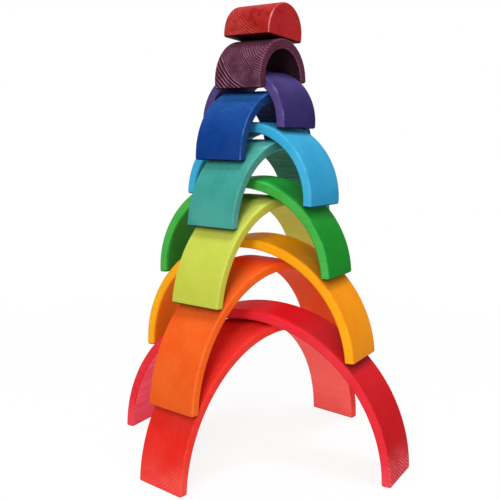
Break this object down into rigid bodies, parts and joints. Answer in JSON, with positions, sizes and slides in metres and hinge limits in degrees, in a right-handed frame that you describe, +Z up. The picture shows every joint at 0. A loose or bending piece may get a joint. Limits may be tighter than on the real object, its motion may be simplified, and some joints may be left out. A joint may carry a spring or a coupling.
{
  "type": "rainbow stacker",
  "caption": "Wooden rainbow stacker toy: stained arches of falling size and a solid half round, stacked crosswise as a tower",
  "frame": {"origin": "on the floor, under the middle of the crossing of the two largest arches", "axes": "+Z up, +X along the span of the largest arch, +Y along its axis, away from the viewer"},
  "size_m": [0.38, 0.3578, 0.5531],
  "materials": {
    "crimson": "stained, satin",
    "red": "stained, satin",
    "orange": "stained, satin",
    "amber": "stained, satin",
    "lime": "stained, satin",
    "green": "stained, satin",
    "teal": "stained, satin",
    "sky": "stained, satin",
    "blue": "stained, satin",
    "violet": "stained, satin",
    "plum": "stained, satin",
    "half_round": "stained, satin"
  },
  "bodies": {
    "red": {"red_arch": "red"},
    "crimson": {"crimson_arch": "crimson"},
    "orange": {"orange_arch": "orange"},
    "amber": {"amber_arch": "amber"},
    "lime": {"lime_arch": "lime"},
    "green": {"green_arch": "green"},
    "teal": {"teal_arch": "teal"},
    "sky": {"sky_arch": "sky"},
    "blue": {"blue_arch": "blue"},
    "violet": {"violet_arch": "violet"},
    "plum": {"plum_arch": "plum"},
    "half_round": {"half_round": "half_round"}
  },
  "joints": [
    {"name": "lift_crimson", "type": "slide", "parent": "red", "child": "crimson", "axis": [0, 0, 1], "range_m": [0, 0.182]},
    {"name": "lift_orange", "type": "slide", "parent": "crimson", "child": "orange", "axis": [0, 0, 1], "range_m": [0, 0.11]},
    {"name": "lift_amber", "type": "slide", "parent": "orange", "child": "amber", "axis": [0, 0, 1], "range_m": [0, 0.136]},
    {"name": "lift_lime", "type": "slide", "parent": "amber", "child": "lime", "axis": [0, 0, 1], "range_m": [0, 0.106]},
    {"name": "lift_green", "type": "slide", "parent": "lime", "child": "green", "axis": [0, 0, 1], "range_m": [0, 0.113]},
    {"name": "lift_teal", "type": "slide", "parent": "green", "child": "teal", "axis": [0, 0, 1], "range_m": [0, 0.077]},
    {"name": "lift_sky", "type": "slide", "parent": "teal", "child": "sky", "axis": [0, 0, 1], "range_m": [0, 0.087]},
    {"name": "lift_blue", "type": "slide", "parent": "sky", "child": "blue", "axis": [0, 0, 1], "range_m": [0, 0.056]},
    {"name": "lift_violet", "type": "slide", "parent": "blue", "child": "violet", "axis": [0, 0, 1], "range_m": [0, 0.056]},
    {"name": "lift_plum", "type": "slide", "parent": "violet", "child": "plum", "axis": [0, 0, 1], "range_m": [0, 0.035]},
    {"name": "lift_half_round", "type": "slide", "parent": "plum", "child": "half_round", "axis": [0, 0, 1], "range_m": [0, 0.03]}
  ]
}
